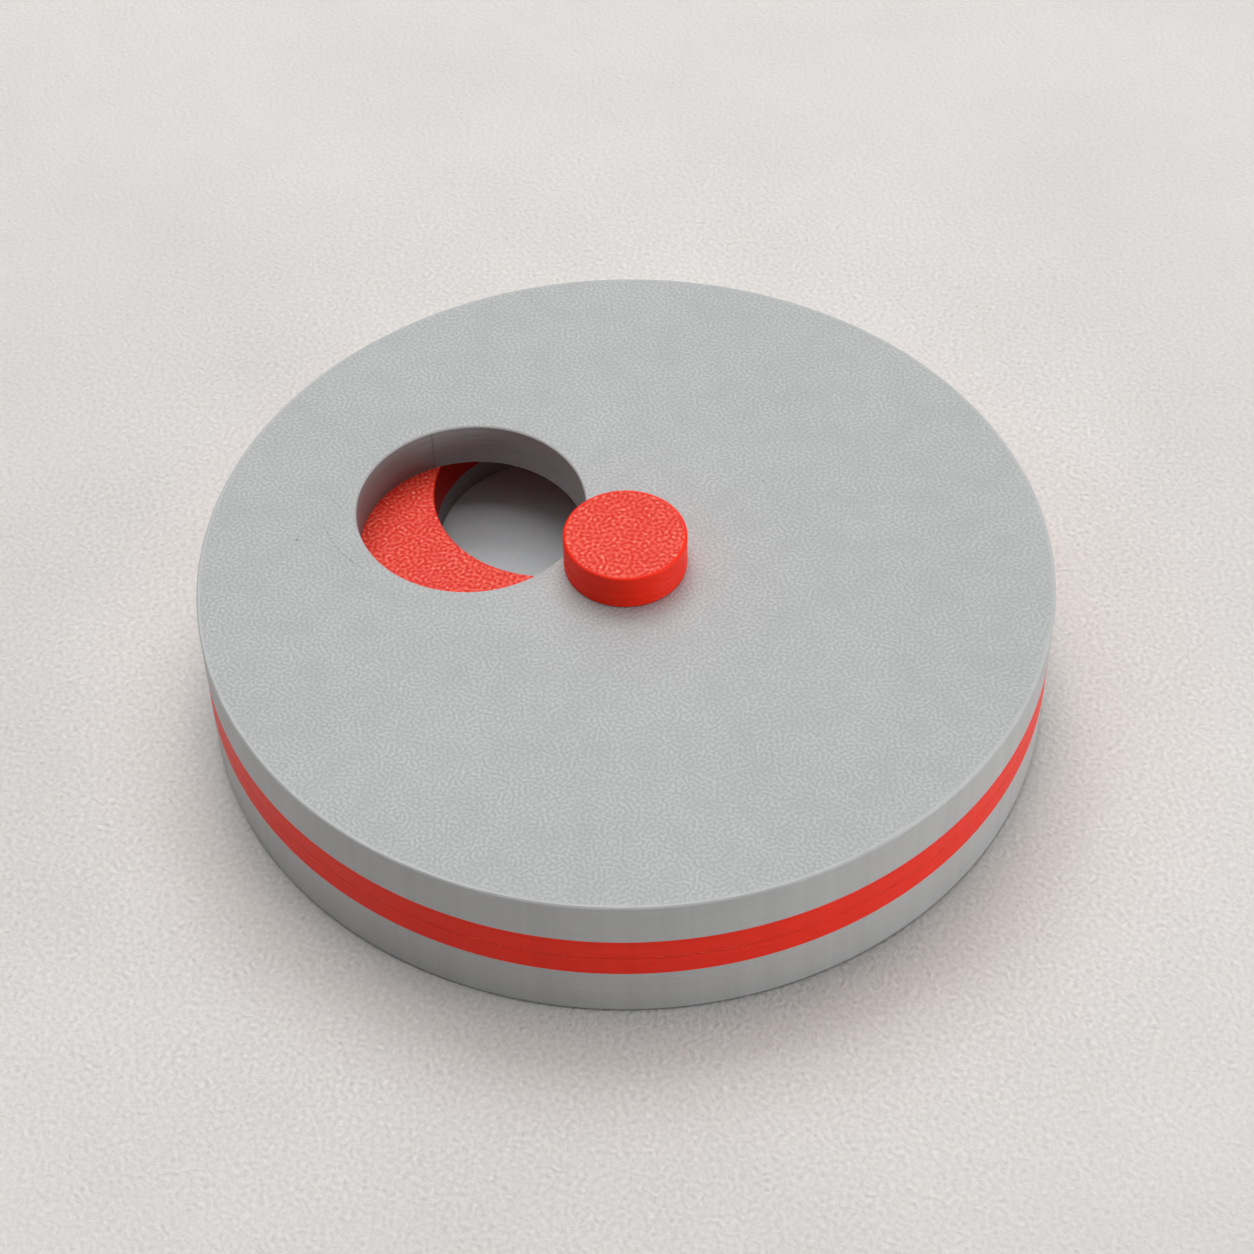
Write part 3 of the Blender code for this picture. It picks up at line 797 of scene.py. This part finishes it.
make_floor()


def area_light(name, place, target, size, power, colour=(1.0, 1.0, 1.0)):
    data = bpy.data.lights.new(name, "AREA")
    data.shape = "RECTANGLE"
    data.size, data.size_y = size
    data.energy = power
    data.color = colour
    obj = bpy.data.objects.new(name, data)
    obj.location = place
    obj.rotation_mode = "QUATERNION"
    obj.rotation_quaternion = (Vector(target) - Vector(place)).to_track_quat("-Z", "Y")
    bpy.context.scene.collection.objects.link(obj)
    return obj


def sky(azimuth, elevation, distance):
    """Point seen from the button; azimuth 0 is behind it, 90 to its right."""
    a, e = math.radians(azimuth), math.radians(elevation)
    return (distance * math.sin(a) * math.cos(e),
            distance * math.cos(a) * math.cos(e), distance * math.sin(e))


LIGHTS = {
    "softbox_back": (sky(0, 60, 1.2), (0.5, 0.5), 0.81),
    "softbox_back_low": (sky(0, 45, 1.2), (0.5, 0.5), 1.56),
    "softbox_back_right": (sky(30, 60, 1.2), (0.5, 0.5), 2.47),
    "softbox_back_left": (sky(330, 60, 1.2), (0.5, 0.5), 2.54),
    "softbox_top_back": (sky(0, 75, 1.2), (0.5, 0.5), 1.00),
    "softbox_top": (sky(0, 89.9, 1.2), (0.5, 0.5), 2.78),
    "softbox_wide": (sky(0, 89.9, 1.0), (1.4, 1.4), 1.98),
    "softbox_left": (sky(275, 57, 1.2), (0.6, 0.6), 0.90),
    "strip_back": (sky(0, 25, 1.2), (0.5, 0.3), 1.20),
    "fill_left": (sky(270, 30, 1.2), (0.5, 0.5), 0.51),
    "fill_low_left": (sky(250, 10, 1.3), (0.4, 0.4), 0.57),
    "fill_front_left": (sky(210, 10, 1.3), (0.4, 0.4), 0.73),
    "fill_right": (sky(98, 8, 1.3), (0.3, 0.3), 3.90),
    "fill_front_right": (sky(120, 8, 1.3), (0.3, 0.3), 4.90),
}
for name, (place, size, power) in LIGHTS.items():
    area_light(name, place, (0.0, 0.0, 0.0), size, power)

world = bpy.data.worlds.new("studio")
world.use_nodes = True
background = world.node_tree.nodes["Background"]
background.inputs[0].default_value = (1.0, 1.0, 1.0, 1.0)
background.inputs[1].default_value = 0.015
bpy.context.scene.world = world
bpy.context.scene.view_settings.view_transform = "Standard"

# ------------------------------------------------------------------- camera
def make_camera():
    """Looks down at the button at 47 degrees, from the front."""
    unit = R * MM
    pitch, yaw, roll = math.radians(48.13), math.radians(0.01), math.radians(-1.0)
    forward = Vector((math.sin(yaw) * math.cos(pitch),
                      math.cos(yaw) * math.cos(pitch), -math.sin(pitch)))
    right = Vector((math.cos(yaw), -math.sin(yaw), 0.0))
    up = right.cross(forward)
    r2 = math.cos(roll) * right + math.sin(roll) * up
    u2 = -math.sin(roll) * right + math.cos(roll) * up
    data = bpy.data.cameras.new("camera")
    data.sensor_width = 36.0
    data.lens = 36.0 * 2825.0 / 1254.0
    data.clip_start, data.clip_end = 0.01, 20.0
    cam = bpy.data.objects.new("camera", data)
    cam.matrix_world = Matrix((
        (r2.x, u2.x, -forward.x, 0.0),
        (r2.y, u2.y, -forward.y, -4.520 * unit),
        (r2.z, u2.z, -forward.z, 5.194 * unit),
        (0.0, 0.0, 0.0, 1.0)))
    bpy.context.scene.collection.objects.link(cam)
    bpy.context.scene.camera = cam
    return cam


make_camera()

for m in SLOT_FILL:
    bpy.data.materials.remove(m)
